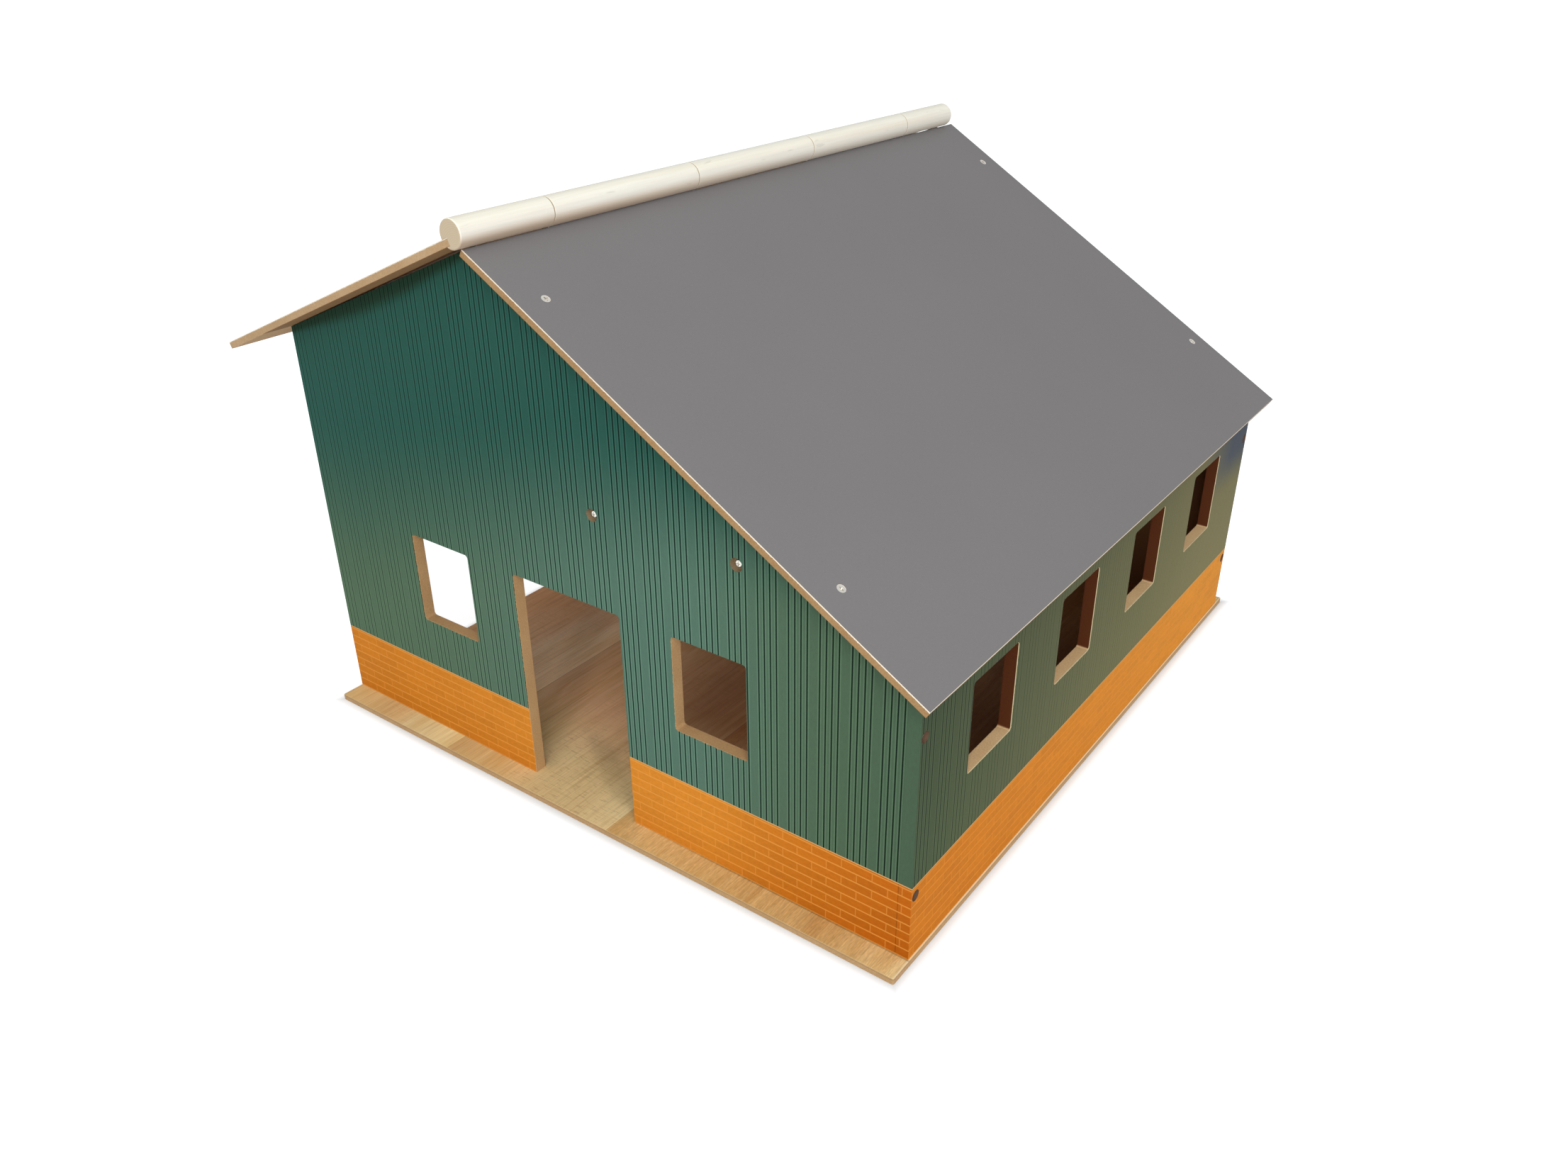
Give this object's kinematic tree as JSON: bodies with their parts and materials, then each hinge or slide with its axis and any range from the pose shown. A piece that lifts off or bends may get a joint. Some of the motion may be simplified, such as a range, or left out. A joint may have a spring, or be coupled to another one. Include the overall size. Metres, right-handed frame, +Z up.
{
  "type": "toy barn with hinged roof leaf",
  "caption": "Open-sided toy barn with printed walls, window and doorway cut-outs and a roof leaf that swings over on a wooden knuckle ridge.",
  "frame": {"origin": "centre of the underside of the floor sheet", "axes": "+X to the closed side wall, +Y to the rear gable, +Z up"},
  "size_m": [0.7591, 0.751, 0.535],
  "materials": {
    "oak_print_floor": "satin oak plank print",
    "printed_board": "satin print of green corrugated boards above a brick band",
    "fibreboard": "raw matt fibreboard",
    "grey_roof_board": "matt grey faced board with raw edges",
    "bare_wood": "sanded bare pale wood",
    "steel": "zinc plated"
  },
  "bodies": {
    "house": {"base_board": "oak_print_floor", "front_gable": "printed_board", "rear_gable": "printed_board", "side_wall": "printed_board", "loft_board": "fibreboard", "roof_panel": "grey_roof_board", "ridge_knuckle_2": "bare_wood", "ridge_knuckle_4": "bare_wood", "hinge_pins": "steel", "wall_screws": "steel", "loft_screws": "steel", "roof_screws": "steel", "base_screws": "steel", "knuckle_screws": "steel"},
    "leaf": {"roof_leaf": "grey_roof_board", "ridge_knuckle_1": "bare_wood", "ridge_knuckle_3": "bare_wood", "ridge_knuckle_5": "bare_wood"}
  },
  "joints": [
    {"name": "roof_leaf_hinge", "type": "hinge", "parent": "house", "child": "leaf", "pos_m": [-0.06575, 0, 0.523], "axis": [0, 1, 0], "range_deg": [0, 235]}
  ]
}
